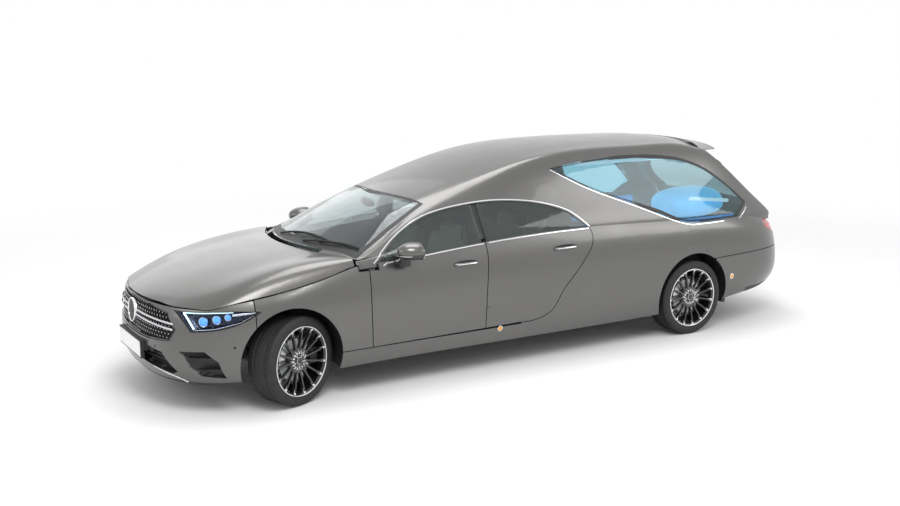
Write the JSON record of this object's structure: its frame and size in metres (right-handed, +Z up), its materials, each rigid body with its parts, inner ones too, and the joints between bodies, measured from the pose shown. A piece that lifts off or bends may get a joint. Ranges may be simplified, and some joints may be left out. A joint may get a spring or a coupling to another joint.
{
  "type": "hearse",
  "caption": "Long low hearse with four side doors, hinged hood and tailgate, glazed load space, hollow cabin, steered front wheels and spinning spoked wheels.",
  "frame": {"origin": "bottom centre of the car's box, on the ground", "axes": "+X towards the nose, +Y towards the car's left side, +Z up"},
  "size_m": [5.9684, 2.16, 1.6853],
  "materials": {
    "paint": "metallic warm grey, satin clear coat",
    "tinted_glass": "dark tinted, polished",
    "clear_glass": "clear, polished",
    "alloy": "machined and lacquered",
    "tyre": "matte black rubber",
    "iron": "dark coated",
    "steel": "brushed",
    "black": "satin black",
    "trim": "grained dark grey",
    "seat": "light grey-green leather",
    "lamp_glass": "clear lens",
    "red_lamp": "red lens",
    "white": "opal white",
    "plate": "blank white"
  },
  "bodies": {
    "body": {"left_side_panel": "paint", "right_side_panel": "paint", "door_hinges": "steel", "hood_brackets": "steel", "front_fenders": "paint", "front_bumper": "paint", "plate_holder": "black", "headlights": "lamp_glass", "rear_bumper": "paint", "roof_panel": "paint", "windshield": "clear_glass", "load_windows": "clear_glass", "tail_lights": "red_lamp", "floor_pan": "black", "front_suspension": "iron", "rear_suspension": "iron", "engine_block": "iron", "dashboard": "trim", "steering_wheel": "black", "door_pillars": "black", "front_seats": "seat", "rear_seats": "seat", "partition": "trim", "load_deck": "steel", "ceiling_lights": "white", "grille": "black", "front_plate": "plate"},
    "left_front_door": {"left_front_door": "paint", "left_front_door_glass": "tinted_glass", "left_mirror": "paint"},
    "left_front_wheel": {"left_front_rim": "alloy", "left_front_tyre": "tyre"},
    "left_rear_door": {"left_rear_door": "paint", "left_rear_door_glass": "tinted_glass"},
    "left_rear_wheel": {"left_rear_rim": "alloy", "left_rear_tyre": "tyre"},
    "left_knuckle": {"left_knuckle": "iron"},
    "right_front_door": {"right_front_door": "paint", "right_front_door_glass": "tinted_glass", "right_mirror": "paint"},
    "right_front_wheel": {"right_front_rim": "alloy", "right_front_tyre": "tyre"},
    "right_rear_door": {"right_rear_door": "paint", "right_rear_door_glass": "tinted_glass"},
    "right_rear_wheel": {"right_rear_rim": "alloy", "right_rear_tyre": "tyre"},
    "right_knuckle": {"right_knuckle": "iron"},
    "hood": {"hood": "paint"},
    "tailgate": {"tailgate": "paint", "tailgate_glass": "tinted_glass"}
  },
  "joints": [
    {"name": "left_front_door_hinge", "type": "hinge", "parent": "body", "child": "left_front_door", "pos_m": [1.452, 0.92623, 0.6], "axis": [0, 0, -1], "range_deg": [0, 65]},
    {"name": "left_rear_door_hinge", "type": "hinge", "parent": "body", "child": "left_rear_door", "pos_m": [0.463, 0.93025, 0.6], "axis": [0, 0, -1], "range_deg": [0, 65]},
    {"name": "right_front_door_hinge", "type": "hinge", "parent": "body", "child": "right_front_door", "pos_m": [1.452, -0.92623, 0.6], "axis": [0, 0, 1], "range_deg": [0, 65]},
    {"name": "right_rear_door_hinge", "type": "hinge", "parent": "body", "child": "right_rear_door", "pos_m": [0.463, -0.93025, 0.6], "axis": [0, 0, 1], "range_deg": [0, 65]},
    {"name": "hood_hinge", "type": "hinge", "parent": "body", "child": "hood", "pos_m": [1.5, 0, 0.955], "axis": [0, -1, 0], "range_deg": [0, 45]},
    {"name": "tailgate_hinge", "type": "hinge", "parent": "body", "child": "tailgate", "pos_m": [-1.981, 0, 1.634], "axis": [0, 1, 0], "range_deg": [0, 80]},
    {"name": "left_steering", "type": "hinge", "parent": "body", "child": "left_knuckle", "pos_m": [2.095, 0.73, 0.323], "axis": [0, 0, 1], "range_deg": [-57, 13]},
    {"name": "right_steering", "type": "hinge", "parent": "body", "child": "right_knuckle", "pos_m": [2.095, -0.73, 0.323], "axis": [0, 0, 1], "range_deg": [-57, 13]},
    {"name": "left_front_wheel_spin", "type": "hinge", "parent": "left_knuckle", "child": "left_front_wheel", "pos_m": [2.06691, 0.79954, 0.323], "axis": [-0.3746, 0.9272, 0], "continuous": true},
    {"name": "left_rear_wheel_spin", "type": "hinge", "parent": "body", "child": "left_rear_wheel", "pos_m": [-1.64, 0.805, 0.323], "axis": [0, 1, 0], "continuous": true},
    {"name": "right_front_wheel_spin", "type": "hinge", "parent": "right_knuckle", "child": "right_front_wheel", "pos_m": [2.1231, -0.79954, 0.323], "axis": [-0.3746, 0.9272, 0], "continuous": true},
    {"name": "right_rear_wheel_spin", "type": "hinge", "parent": "body", "child": "right_rear_wheel", "pos_m": [-1.64, -0.805, 0.323], "axis": [0, 1, 0], "continuous": true}
  ],
  "couplings": [
    {"joint": "right_steering", "follows": "left_steering", "ratio": 1}
  ]
}
